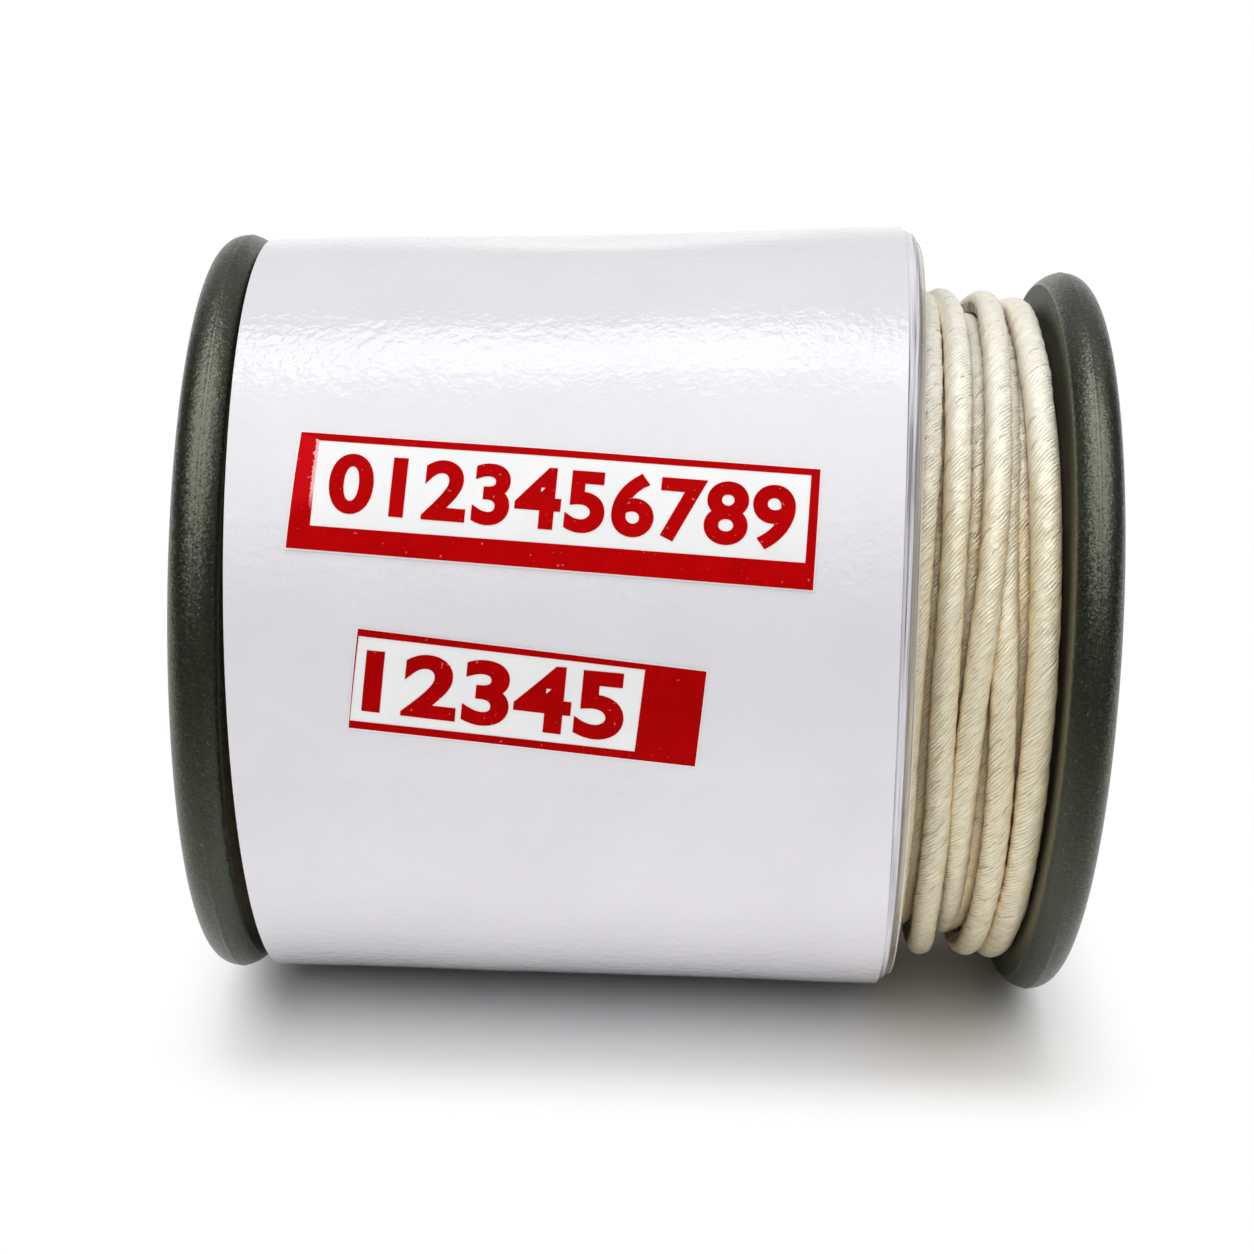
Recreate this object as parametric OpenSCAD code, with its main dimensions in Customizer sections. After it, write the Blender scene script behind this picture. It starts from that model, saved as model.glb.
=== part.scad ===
// Small moulded spool of cotton-covered copper wire, lying on the rims of its two flanges.
// X runs along the spool, Y to the back and Z up. The origin is under the middle, on the floor.
// Millimetres.

/* [Flanges] */
// Diameter over the crest of each rim
flange_d = 28; // [24:0.5:50]
// Clear width between the two flanges
clear_w = 29; // [20:0.5:36]
// Axial width of the slope between the inner face and the crest of the rim
slope_w = 0.8; // [0.4:0.05:1.2]
// Drop of that slope below the crest
slope_drop = 0.56; // [0.3:0.02:0.7]
// Axial width of the rounding between the crest and the outer face
round_w = 1.05; // [0.8:0.05:1.6]
// Drop of that rounding below the crest
round_drop = 1.35; // [0.6:0.05:2]
// Radial width of the thick band round the rim, where the outer face isn't recessed
band_w = 2.4; // [2.2:0.1:3.5]
// Thickness of the web inside that band
web_t = 0.8; // [0.6:0.05:0.85]

/* [Barrel] */
// Diameter of the spindle bore
bore_d = 8; // [4:0.1:10]
// Break of the edge at the bore's mouths
bore_break = 0.3; // [0.1:0.05:0.6]
// Wall of the spigot on each flange
spigot_wall = 1; // [0.6:0.05:1.6]
// Length of the spigot on each flange
spigot_l = 4; // [2:0.5:8]
// Wall of the barrel
barrel_wall = 1; // [0.6:0.05:1.6]
// Radial fit of the spigots in the barrel
spigot_fit = 0.02; // [0.01:0.01:0.05]

/* [Wire] */
// Diameter of the bare copper
conductor_d = 0.71; // [0.5:0.01:0.8]
// Thickness of each of the two laps of cotton over the copper
lap_t = 0.07; // [0.05:0.005:0.09]
// Depth of the finished winding below the crest of the rims
winding_drop = 0.86; // [0.8:0.02:2]
// Least gap between neighbouring turns of the outer layer
turn_gap = 0.42; // [0.42:0.02:1]
// Gap between the winding and each flange
side_gap = 0.15; // [0.05:0.05:0.4]
// Radius of the bend where the wire turns in or out, at its middle
bend_r = 0.8; // [0.7:0.05:1.2]
// Clearance round the wire in a hole, a notch or over another layer
wire_fit = 0.05; // [0.02:0.01:0.08]
// Length of the wire's first end that lies in the recess of the left flange
tail_l = 7; // [5:0.25:8.5]
// Length of bare copper at that end
bared_l = 1.6; // [0.5:0.1:2]
// Length of inner cotton that shows there
inner_lap_l = 0.9; // [0.3:0.1:1.5]
// Radial clearance of the hole that this end comes out of
start_hole_fit = 0.22; // [0.2:0.02:0.4]
// Wall between that hole and what lies beside it
start_hole_wall = 0.3; // [0.1:0.05:0.6]
// Place of that hole round the spool, from the bottom over the back
start_angle = 130; // [0:5:360]

/* [Wrap] */
// Width of winding that the wrap leaves bare at its loose end
bare_w = 5.55; // [3:0.05:10]
// Gap between the winding and the film, at the tight end and along the bottom
wrap_gap = 0.26; // [0.1:0.02:0.34]
// Thickness of one turn of the clear film
film_t = 0.1; // [0.05:0.01:0.14]
// Length by which the film's outer turn stands out of the paper
film_out = 0.35; // [0.1:0.05:0.6]
// Further length by which its inner turn stands out
film_step = 0.25; // [0.05:0.05:0.6]
// Running clearance between the film and the paper
film_fit = 0.08; // [0.04:0.01:0.1]
// Thickness of the paper
paper_t = 0.2; // [0.1:0.02:0.28]
// Growth of the wrap's radius towards its loose end
wrap_flare = 0.77; // [0.2:0.01:1]
// Clearance between the wrap and a flange at either stop
stop_gap = 0.15; // [0.1:0.05:0.4]
// Length by which the film stays back from the paper's edge at the tight end
film_back = 0.25; // [0.1:0.05:0.5]
// Width by which the paper laps over itself at the seam
seam_lap = 4; // [2:0.5:8]
// Width of the tape over the seam
tape_w = 5; // [3:0.5:10]
// Thickness of the tape
tape_t = 0.05; // [0.03:0.01:0.1]
// Length by which the tape stays back from the paper's ends
tape_back = 0.8; // [0.2:0.1:3]
// Place of the seam round the wrap, from the bottom over the back
seam_angle = 90; // [60:5:120]

/* [Labels] */
// Thickness of a label
label_t = 0.08; // [0.05:0.01:0.15]
// Thickness of the raised print
print_t = 0.04; // [0.02:0.01:0.08]
// Length and height of the upper label
upper_size = [17.5, 4.15]; // [2:0.05:20]
// Middle of the upper label: distance from the tight end, then angle above the front
upper_place = [11.1, 30.6]; // [0:0.1:60]
// Slant of the upper label
upper_slant = 3.8; // [0:0.1:8]
// Print of the upper label: left bar, right bar, top line, bottom bar
upper_bars = [0.72, 0.43, 0.33, 0.84]; // [0.05:0.01:1.5]
// Length and height of the lower label
lower_size = [11.75, 3.45]; // [2:0.05:20]
// Middle of the lower label: distance from the tight end, then angle above the front
lower_place = [10.1, 4.6]; // [0:0.1:60]
// Slant of the lower label
lower_slant = 5.8; // [0:0.1:8]
// Print of the lower label: left line, right bar, top line, bottom line
lower_bars = [0.08, 2.4, 0.24, 0.24]; // [0.05:0.01:3]

/* [Hidden] */
$fn = 96;

// Play that keeps two still pieces from sharing a face.
seat = 0.01;
// Length by which a cutting solid runs past what it cuts.
over = 1;
// Height of a cutting block that only has to reach through a thin skin.
reach = 3;

// Spool.
flange_r = flange_d / 2;
rim_t = slope_w + round_w;
overall_l = clear_w + 2 * rim_t;
bore_r = bore_d / 2;
spigot_r = bore_r + spigot_wall;
barrel_r = spigot_r + spigot_fit + barrel_wall;
// Steps along the rounded side of the rim.
round_steps = 10;

// Wire.
wire_d = conductor_d + 4 * lap_t;
wire_r = wire_d / 2;
winding_r = flange_r - winding_drop;
turn_r = winding_r - wire_r;
winding_span = clear_w - 2 * side_gap - wire_d;
most_loops = 24;
loops = min(most_loops, floor(winding_span / (wire_d + turn_gap)));
pitch = winding_span / loops;
// Rings of the tube in one loop, in one end bend, and sides of each ring.
loop_rings = 24;
bend_rings = 5;
tube_sides = 6;
ring_angle = 360 / loop_rings;
// Radius of the layers below: the straight tube between two rings dips below its own circle.
core_r = turn_r * cos(ring_angle / 2) - wire_r - wire_fit;
// The outer layer begins and ends at the back.
end_angle = 90;
end_x = winding_span / 2;
end_depth = turn_r - bend_r - wire_d;

// First end of the wire, through the left flange. tail_z counts outwards from the inner face.
start_hole_r = wire_r + start_hole_fit;
start_r = barrel_r + start_hole_r + start_hole_wall / 2;
boss_r = start_r - start_hole_r - start_hole_wall;
tail_z = web_t + wire_r + wire_fit / 2;
tail_bend_z = tail_z - bend_r;

// Wrap. Its own axis rises towards the loose end, so its underside stays level.
wrap_tilt = atan(wrap_flare / (clear_w - bare_w));
film_in_r = winding_r + wrap_gap;
paper_in_r = film_in_r + 2 * film_t + film_fit;
paper_out_r = paper_in_r + paper_t;
wrap_x = -clear_w / 2 + stop_gap + paper_out_r * sin(wrap_tilt) - film_back;
paper_l = (clear_w / 2 - bare_w - wrap_x) / cos(wrap_tilt);
film_end = paper_l + film_out + film_step;
loose_r = paper_out_r + film_end * tan(wrap_tilt);
film_end_x = wrap_x + film_end * cos(wrap_tilt) + loose_r * sin(wrap_tilt);
wrap_travel = clear_w / 2 - stop_gap - film_end_x;
label_lift = paper_t + seat;
front_angle = -90;

// ---------------------------------------------------------------- placing

// Lays a solid's Z axis along the spool. Angles then count from the bottom over the back.
module along_spool(x = 0) {
    translate([x, 0, flange_r])
        rotate([0, 90, 0])
            children();
}

// The right flange's place, Z counting outwards from its inner face.
module at_right_flange() {
    along_spool(clear_w / 2)
        children();
}

module at_left_flange() {
    mirror([1, 0, 0])
        at_right_flange()
            children();
}

// The wrap's own axis, Z counting from the paper's tight end.
module along_wrap() {
    translate([wrap_x, 0, flange_r])
        rotate([0, 90 - wrap_tilt, 0])
            children();
}

// ---------------------------------------------------------------- spool

// Section of a flange as [radius, distance outwards from the inner face].
function flange_section() = concat(
    [[bore_r, -spigot_l], [spigot_r, -spigot_l], [spigot_r, 0],
     [flange_r - slope_drop, 0], [flange_r, slope_w]],
    [for (i = [1 : round_steps])
        let (a = 90 * i / round_steps)
            [flange_r - round_drop * (1 - cos(a)), slope_w + round_w * sin(a)]],
    [[flange_r - band_w, rim_t], [flange_r - band_w, web_t],
     [boss_r, web_t], [boss_r, rim_t],
     [bore_r + bore_break, rim_t], [bore_r, rim_t - bore_break]]);

// Rim, web, boss and spigot in one moulding, with the hole for the wire's first end.
module flange_moulding() {
    difference() {
        rotate_extrude()
            polygon(flange_section());
        rotate([0, 0, start_angle])
            translate([start_r, 0, -over])
                cylinder(r = start_hole_r, h = web_t + 2 * over);
    }
}

module left_flange() {
    color("#3b3f3b")
        at_left_flange()
            flange_moulding();
}

module right_flange() {
    color("#3b3f3b")
        at_right_flange()
            flange_moulding();
}

// Tube over both spigots, between the flanges' inner faces.
module barrel() {
    color("#333633")
        along_spool(-clear_w / 2)
            difference() {
                cylinder(r = barrel_r, h = clear_w);
                translate([0, 0, -over])
                    cylinder(r = spigot_r + spigot_fit, h = clear_w + 2 * over);
            }
}

// ---------------------------------------------------------------- winding

// Notch at one end of the lower layers, in which an end of the outer layer stands.
// way is 1 where the wire turns in and -1 where it comes out.
module end_notch(way) {
    along_spool(way * (end_x - wire_r - wire_fit))
        rotate([0, 0, end_angle])
            rotate([way < 0 ? 180 : 0, 0, 0])
                translate([end_depth - seat, 0, 0])
                    cube([core_r, bend_r + wire_r + wire_fit, wire_d + wire_fit + over]);
}

// All layers of the winding below the outer one, in one plain piece.
module inner_layers() {
    color("#d3c596")
        difference() {
            along_spool(-clear_w / 2 + wire_fit)
                difference() {
                    cylinder(r = core_r, h = clear_w - 2 * wire_fit);
                    translate([0, 0, -over])
                        cylinder(r = barrel_r + wire_fit, h = clear_w + 2 * over);
                }
            end_notch(1);
            end_notch(-1);
        }
}

// Point of an end bend: t runs from 0 on the winding to 1 square to it, way as above.
function bend_point(t, way) = [
    turn_r - bend_r * (1 - cos(90 * t)),
    way * bend_r * sin(90 * t)];

function turned(p, x) = [
    p[0] * cos(end_angle) - p[1] * sin(end_angle),
    p[0] * sin(end_angle) + p[1] * cos(end_angle),
    x];

// Middle line of the outer layer, in the spool's frame: out of the notch, round, and in again.
outer_path = concat(
    [turned([end_depth, -bend_r], -end_x)],
    [for (i = [bend_rings : -1 : 1]) turned(bend_point(i / bend_rings, -1), -end_x)],
    [for (i = [0 : loops * loop_rings])
        turned([turn_r * cos(i * ring_angle), turn_r * sin(i * ring_angle)],
               -end_x + pitch * i / loop_rings)],
    [for (i = [1 : bend_rings]) turned(bend_point(i / bend_rings, 1), end_x)],
    [turned([end_depth, bend_r], end_x)]);

function unit(v) = v / norm(v);

// Direction of a path at point i.
function heading(path, i) =
    unit(path[min(i + 1, len(path) - 1)] - path[max(i - 1, 0)]);

// Ring i of a round tube of radius r: one side always faces along the spool.
function tube_ring(path, i, r) =
    let (t = heading(path, i),
         b = unit([0, 0, 1] - t * t[2]),
         n = cross(b, t))
    [for (k = [0 : tube_sides - 1])
        let (a = 360 * k / tube_sides)
            path[i] + r * (cos(a) * n + sin(a) * b)];

// Round tube along a path, as one closed mesh of triangles.
module tube(path, r) {
    rings = len(path);
    last = (rings - 1) * tube_sides;
    points = [for (i = [0 : rings - 1]) each tube_ring(path, i, r)];
    sides = [for (i = [0 : rings - 2], k = [0 : tube_sides - 1])
        let (a = i * tube_sides + k,
             b = i * tube_sides + (k + 1) % tube_sides)
            each [[a, b, b + tube_sides], [a, b + tube_sides, a + tube_sides]]];
    first_cap = [for (k = [1 : tube_sides - 2]) [0, k + 1, k]];
    last_cap = [for (k = [1 : tube_sides - 2]) [last, last + k, last + k + 1]];
    polyhedron(points, concat(sides, first_cap, last_cap));
}

// Outer layer of covered wire, one unbroken tube from notch to notch.
module outer_turns() {
    color("#e8ddba")
        along_spool()
            tube(outer_path, wire_r);
}

// Least gap of the outer layer to itself, on the points of its middle line.
least_gap = min([for (i = [0 : len(outer_path) - 1 - loop_rings / 2])
    min([for (j = [i + loop_rings / 2 : len(outer_path) - 1])
        norm(outer_path[i] - outer_path[j])])]) - wire_d;

// ---------------------------------------------------------------- first end of the wire

// The end's place in the left flange's recess: X runs the way that the end lies.
module at_start_hole() {
    at_left_flange()
        rotate([0, 0, start_angle])
            translate([start_r, 0, 0])
                rotate([0, 0, 90])
                    children();
}

// Round bar along the first end: out of the hole, round the bend and along the recess.
module tail_bar(r, length) {
    translate([0, 0, -wire_fit])
        cylinder(r = r, h = tail_bend_z + wire_fit);
    translate([bend_r, 0, tail_bend_z])
        rotate([90, 0, 0])
            rotate([0, 0, 90])
                rotate_extrude(angle = 90)
                    translate([bend_r, 0])
                        circle(r = r);
    translate([bend_r, 0, tail_z])
        rotate([0, 90, 0])
            cylinder(r = r, h = length - bend_r);
}

// Cotton lap between two radii, over a length of the first end.
module tail_lap(inner_r, outer_r, length) {
    at_start_hole()
        difference() {
            tail_bar(outer_r, length);
            tail_bar(inner_r, length + over);
        }
}

module start_conductor() {
    color("#b8683a")
        at_start_hole()
            tail_bar(conductor_d / 2, tail_l);
}

module start_inner_cotton() {
    color("#ded2a9")
        tail_lap(conductor_d / 2 + seat / 2, conductor_d / 2 + lap_t, tail_l - bared_l);
}

module start_outer_cotton() {
    color("#e8ddba")
        tail_lap(conductor_d / 2 + lap_t + seat / 2, wire_r, tail_l - bared_l - inner_lap_l);
}

// ---------------------------------------------------------------- wrap

// Conical skin of the wrap between two distances from its inner paper face, two places
// along the wrap and two angles.
module wrap_skin(low, high, from, to, start = 0, sweep = 360) {
    grow = tan(wrap_tilt);
    inner = paper_in_r + low;
    outer = paper_in_r + high;
    rotate([0, 0, start])
        rotate_extrude(angle = sweep)
            polygon([
                [inner + from * grow, from], [outer + from * grow, from],
                [outer + to * grow, to], [inner + to * grow, to]]);
}

function arc_angle(length) = length / paper_out_r * 180 / PI;

// Clear film, wound twice: both turns together, and the inner one on past the outer.
module film_wrap() {
    color("#dfdfe6", 0.5)
        along_wrap() {
            wrap_skin(-film_fit - 2 * film_t, -film_fit, film_back, paper_l + film_out);
            wrap_skin(-film_fit - 2 * film_t, -film_fit - film_t, film_back, film_end);
        }
}

// Paper, closed round the film and lapped over itself at the seam.
module paper_sleeve() {
    color("#e9e7ee")
        along_wrap() {
            wrap_skin(0, paper_t, 0, paper_l);
            wrap_skin(paper_t, 2 * paper_t, 0, paper_l,
                seam_angle - arc_angle(seam_lap), arc_angle(seam_lap));
        }
}

// Clear tape over the paper's free edge: on the lap, down the step and on the paper.
module seam_tape() {
    half = arc_angle(tape_w / 2);
    step = arc_angle(tape_t);
    play = arc_angle(seat);
    from = tape_back;
    to = paper_l - tape_back;
    low = paper_t + seat;
    top = 2 * paper_t + seat;
    color("#f2efe2", 0.6)
        along_wrap() {
            wrap_skin(top, top + tape_t, from, to, seam_angle - half, half + play + step);
            wrap_skin(low, top + tape_t, from, to, seam_angle + play, step);
            wrap_skin(low, low + tape_t, from, to, seam_angle + play, half);
        }
}

// ---------------------------------------------------------------- labels

// Cuts a skin that lies lift above the paper's inner face to a block laid on the wrap's
// front. In the block, Y runs down the front and Z towards the loose end.
module label_skin(lift, thick, place, slant) {
    intersection() {
        along_wrap()
            wrap_skin(lift, lift + thick, 0, paper_l,
                front_angle - place[1] - 45, 90);
        along_wrap()
            rotate([0, 0, front_angle - place[1]])
                translate([paper_out_r, 0, place[0]])
                    rotate([-slant, 0, 0])
                        children();
    }
}

module label_block(size) {
    cube([2 * reach, size[1], size[0]], center = true);
}

// Frame of four bars inside a label's outline: left, right, top and bottom.
module label_frame(size, bars) {
    difference() {
        label_block(size);
        translate([0, (bars[2] - bars[3]) / 2, (bars[0] - bars[1]) / 2])
            cube([3 * reach, size[1] - bars[2] - bars[3], size[0] - bars[0] - bars[1]],
                center = true);
    }
}

module upper_label() {
    color("#f4f2f4")
        label_skin(label_lift, label_t, upper_place, upper_slant)
            label_block(upper_size);
}

module upper_print() {
    color("#c8000a")
        label_skin(label_lift + label_t + seat, print_t, upper_place, upper_slant)
            label_frame(upper_size, upper_bars);
}

module lower_label() {
    color("#f4f2f4")
        label_skin(label_lift, label_t, lower_place, lower_slant)
            label_block(lower_size);
}

module lower_print() {
    color("#c8000a")
        label_skin(label_lift + label_t + seat, print_t, lower_place, lower_slant)
            label_frame(lower_size, lower_bars);
}

echo(outer_layer_loops = loops, least_gap = least_gap);
echo(overall_l = overall_l, wire_d = wire_d, boss_r = boss_r, core_r = core_r);
echo(wrap_tilt = wrap_tilt, wrap_x = wrap_x, paper_l = paper_l, wrap_travel = wrap_travel);

barrel();
left_flange();
right_flange();
inner_layers();
outer_turns();
start_conductor();
start_inner_cotton();
start_outer_cotton();
film_wrap();
paper_sleeve();
seam_tape();
upper_label();
upper_print();
lower_label();
lower_print();
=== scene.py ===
import math
from functools import partial

import bmesh
import bpy
import numpy as np
from mathutils import Matrix


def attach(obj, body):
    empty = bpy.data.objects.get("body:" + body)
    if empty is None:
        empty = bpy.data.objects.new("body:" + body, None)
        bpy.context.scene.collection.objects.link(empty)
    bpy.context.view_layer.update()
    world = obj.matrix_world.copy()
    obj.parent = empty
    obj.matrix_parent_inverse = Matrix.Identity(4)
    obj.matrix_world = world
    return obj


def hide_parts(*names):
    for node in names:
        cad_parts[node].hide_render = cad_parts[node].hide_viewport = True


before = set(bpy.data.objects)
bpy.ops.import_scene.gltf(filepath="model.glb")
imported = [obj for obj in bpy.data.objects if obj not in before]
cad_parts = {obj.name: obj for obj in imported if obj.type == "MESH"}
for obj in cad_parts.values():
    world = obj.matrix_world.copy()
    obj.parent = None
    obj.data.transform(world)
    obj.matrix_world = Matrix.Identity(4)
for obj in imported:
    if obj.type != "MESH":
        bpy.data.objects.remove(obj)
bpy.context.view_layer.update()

MM = 0.001
SEED = 7

# ---------------- sizes, in millimetres

# Flange: radius over the crest, half the clear width, slope, rounding, band, web. A
# fullness of 2 is an ellipse, 1 a straight line.
FLANGE_R = 14.0
HALF_W = 14.5
SLOPE_W = 0.8
SLOPE_DROP = 0.56
SLOPE_FULL = 1.5
ROUND_W = 1.05
ROUND_DROP = 1.26
ROUND_FULL = 2.34
RIM_T = SLOPE_W + ROUND_W
BAND_R = 11.6
WEB_T = 0.8
BORE_R = 4.0
BORE_BREAK = 0.3
SPIGOT_R = 5.0
SPIGOT_L = 4.0
BOSS_R = 5.87
FILLET = 0.25
FLASH_H = 0.014
FLASH_W = 0.06
FLANGE_SIDES = 384
# Broken edge of the band and the boss, as steps (away from the metal, down) from a corner.
EDGE_BREAK = np.array([(0.12, 0.0), (0.035, -0.035), (0.0, -0.12)])
# Flakes of graphite: their width, and how far each one tilts.
FLAKE_W = 0.058
FLAKE_TILT = 0.2

# Hole for the wire's first end: its angle counts from the bottom over the back.
START_ANGLE = math.radians(130.0)
START_R = 6.885
START_HOLE_R = 0.715
HOLE_SIDES = 64
TAIL_Z = 1.32
TAIL_L = 7.0
BARED_L = 1.6
INNER_LAP_L = 0.9
BEND_R = 0.8
CONDUCTOR_R = 0.355
LAP_T = 0.07
LAP_GAP = 0.005
FRAY = 0.1
TAIL_SIDES = 28

# Winding: middle of the wire at the front, how far the winding's axis stands above the
# spool's, and the step from one layer down to the next. Pitches are for one turn.
WIRE_R = 0.495
TURN_R = 12.45
TURN_RISE = 0.25
LAYER_STEP = 0.86
FIRST_X = -13.87
COVERED_LOOPS = 22
COVERED_PITCH = 1.019
LOWER_X = 9.74
LOWER_PITCH = 1.06
LAST_TURN_MORE = 0.07
WANDER = 0.012
SWELL = 0.016
DIVE = 1.7
DIVE_DEG = 34.0
CORE_R = 11.15
CORE_BORE = 6.07
CORE_GAP = 0.05
CORE_SIDES = 128
# Lay of the outer lap: threads round the wire, ribbons of threads, and length of one turn.
THREADS = 18
RIBBONS = 3
LAY = 3.11
RIBBON_RELIEF = 0.044
RIBBON_RISE = 0.12
RIBBON_FALL = 0.55

# Wrap: its axis rises from the tight end, and its radius grows by the same slope.
WRAP_X = -14.1445
WRAP_TILT = math.radians(1.88068)
WRAP_GROW = math.tan(WRAP_TILT)
# Film: it starts at an angle above the front, reaches out of the paper, and its outer turn
# less far.
FILM_R = 13.40
FILM_T = 0.03
FILM_DEG = 720
FILM_PHI = 230
FILM_START = 0.3
FILM_REACH = 0.5
FILM_STEP = 0.25
# Paper, with the shallow flat along its top: angle, half width in degrees, depth, start
# and length.
PAPER_R = 13.88
PAPER_T = 0.1
FLAT_PHI = 93
FLAT_HALF = 14
FLAT_DEPTH = 0.28
FLAT_START = 3.0
FLAT_L = 19.5
SEAM_PHI = 180.0
SEAM_LAP = 4.0
LAP_RISE = 1.1 * PAPER_T
TAPE_W = 5.0
TAPE_T = 0.03
TAPE_LIFT = 0.006
TAPE_SPAN = (0.8, 22.4)
LABEL_LIFT = 0.005
LABEL_T = 0.05
PRINT_T = 0.012
PRINT_LIFT = LABEL_LIFT + LABEL_T + 0.004

# Labels, as (distance from the tight end, arc above the front) of each corner, going
# top left, top right, bottom right, bottom left.
UPPER_EDGE = [(2.50, 10.21), (20.00, 9.14), (19.73, 5.01), (2.07, 6.14)]
UPPER_WINDOW = [(3.12, 9.91), (19.69, 8.93), (19.47, 5.92), (2.87, 6.90)]
UPPER_DIGITS = [(3.58, 9.51), (19.24, 8.56), (19.02, 6.29), (3.40, 7.33)]
LOWER_EDGE = [(4.46, 3.49), (16.17, 2.24), (15.79, -1.12), (4.03, 0.10)]
LOWER_WINDOW = [(4.48, 3.25), (14.10, 2.27), (13.73, -0.61), (4.08, 0.36)]
LOWER_DIGITS = [(4.75, 2.80), (13.52, 2.14), (13.28, -0.29), (4.48, 0.68)]
LABEL_MARGIN = 0.045
DIGIT_BOLD = 0.035

# Light, as radiance: the backdrop, the ceiling in front, the room on the camera's side,
# what a mirrored ray sees of these two, the far floor's own light, and how much of the
# light the flags at the sides take.
BACKDROP_LIGHT = 0.67
CEILING_LIGHT = 1.64
CEILING_MIRRORED = 3.1
ROOM_LIGHT = 0.1
ROOM_MIRRORED = 0.05
FLOOR_GLOW = 0.47
FLAG_DEPTH = 0.82
# Floor, in metres: the middle and the half size of the part that shows as it is lit, and
# the width over which it turns plain white.
FLOOR_HALF = 3.0
SHADE_MIDDLE = (0.0008, 0.005, 0)
SHADE_HALF = (0.0138, 0.0153, 0)
SHADE_FADE = 0.0055


# ---------------- meshes

def grid_shell(points, wrap_rows=False, wrap_columns=False, uv=None):
    """Quads over a grid of points, rows by columns. A wrapped direction joins its last
    line to its first. uv has one line more than the points in each wrapped direction, so
    that a pattern runs on unbroken over the join."""
    rows, columns = points.shape[:2]
    r, c = np.meshgrid(
        np.arange(rows if wrap_rows else rows - 1),
        np.arange(columns if wrap_columns else columns - 1),
        indexing="ij",
    )
    r, c = r.ravel(), c.ravel()
    corners = [(r, c), (r, c + 1), (r + 1, c + 1), (r + 1, c)]
    faces = np.stack([(a % rows) * columns + b % columns for a, b in corners], 1)
    if uv is None:
        corner_uv = np.zeros((len(faces), 4, 2))
    else:
        corner_uv = np.stack([uv[a, b] for a, b in corners], 1)
    return {"points": points.reshape(-1, 3), "faces": [faces], "uvs": [corner_uv]}


def close_ends(shell, sides, centres):
    """Closes both ends of a tube whose rings come first among its points, by triangles
    from the ring to the end of the path."""
    ring = np.arange(sides)
    for rim, centre in ((ring[::-1], centres[:1]),
                        (ring + (len(centres) - 1) * sides, centres[-1:])):
        middle = np.full(sides, len(shell["points"]))
        shell["points"] = np.vstack([shell["points"], centre])
        shell["faces"].append(np.stack([rim, np.roll(rim, -1), middle], 1))
        shell["uvs"].append(np.zeros((sides, 3, 2)))


def sheet_shell(outer, inner, uv=None, wrap_columns=False):
    """Closed thin sheet from two grids of points that face each other. The rows run over
    the outer grid and back over the inner one, and strips close the first and the last
    column unless the columns wrap."""
    rows, columns = outer.shape[:2]
    if uv is not None:
        uv = np.concatenate([uv, uv[::-1], uv[:1]])
    shell = grid_shell(np.concatenate([outer, inner[::-1]]), True, wrap_columns, uv)
    if wrap_columns:
        return shell
    j = np.arange(rows - 1)
    strip = np.stack([j, 2 * rows - 1 - j, 2 * rows - 2 - j, j + 1], 1)
    for column, order in ((0, 1), (columns - 1, -1)):
        shell["faces"].append((strip * columns + column)[:, ::order])
        shell["uvs"].append(np.zeros((rows - 1, 4, 2)))
    return shell


def run_along(points):
    """Distance from a path's first point to each of its points."""
    steps = np.linalg.norm(np.diff(points, axis=0), axis=1)
    return np.concatenate([[0], np.cumsum(steps)])


def heading(centres):
    """Unit vectors along a path."""
    step = np.gradient(centres, axis=0)
    return step / np.linalg.norm(step, axis=1)[:, None]


def uv_grid(run, sides):
    """Grid of (distance along a tube, share of the way round)."""
    return np.stack(np.meshgrid(run, np.linspace(0, 1, sides + 1), indexing="ij"), -1)


def rings_round(first, second, start, sides):
    """Unit rings, one per point of a path: each goes round from the angle start, where
    angle 0 lies along the first vector and a quarter turn along the second."""
    a = start + np.linspace(0, 2 * np.pi, sides, endpoint=False)
    return np.cos(a)[None, :, None] * first + np.sin(a)[None, :, None] * second


def tube_shell(centres, radii):
    """Round tube: each ring lies square to the path, and goes round from the side that
    faces the spool's axis towards -X. radii is one radius per ring and side."""
    sides = radii.shape[1]
    ahead = heading(centres)
    along = np.array([1.0, 0, 0]) - ahead * ahead[:, :1]
    along /= np.linalg.norm(along, axis=1)[:, None]
    out = np.cross(ahead, along)
    ring = rings_round(out[:, None, :], along[:, None, :], np.pi, sides)
    points = centres[:, None, :] + ring * radii[:, :, None]
    shell = grid_shell(points, wrap_columns=True, uv=uv_grid(run_along(centres), sides))
    close_ends(shell, sides, centres)
    return shell


def lathe_shell(profile, sides, uv=None):
    """Ring turned round the spool's axis from a closed profile of (radius, x)."""
    a = np.linspace(0, 2 * np.pi, sides, endpoint=False)
    r, x = profile[:, 0][:, None], profile[:, 1][:, None]
    points = np.stack([np.broadcast_to(x, (len(profile), sides)),
                       r * np.sin(a), FLANGE_R + r * np.cos(a)], -1)
    return grid_shell(points, True, True, uv)


def outward(points, faces):
    """True if the faces of a closed mesh point out: the sum of the signed volumes of the
    tetrahedra from the origin to each face is above zero."""
    total = 0.0
    for block in faces:
        p = points[block]
        for k in range(1, block.shape[1] - 1):
            total += np.einsum("ij,ij->i", p[:, 0], np.cross(p[:, k], p[:, k + 1])).sum()
    return total > 0


def add_object(name, data):
    """Object that holds the data, in the scene."""
    thing = bpy.data.objects.new(name, data)
    bpy.context.scene.collection.objects.link(thing)
    return thing


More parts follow.
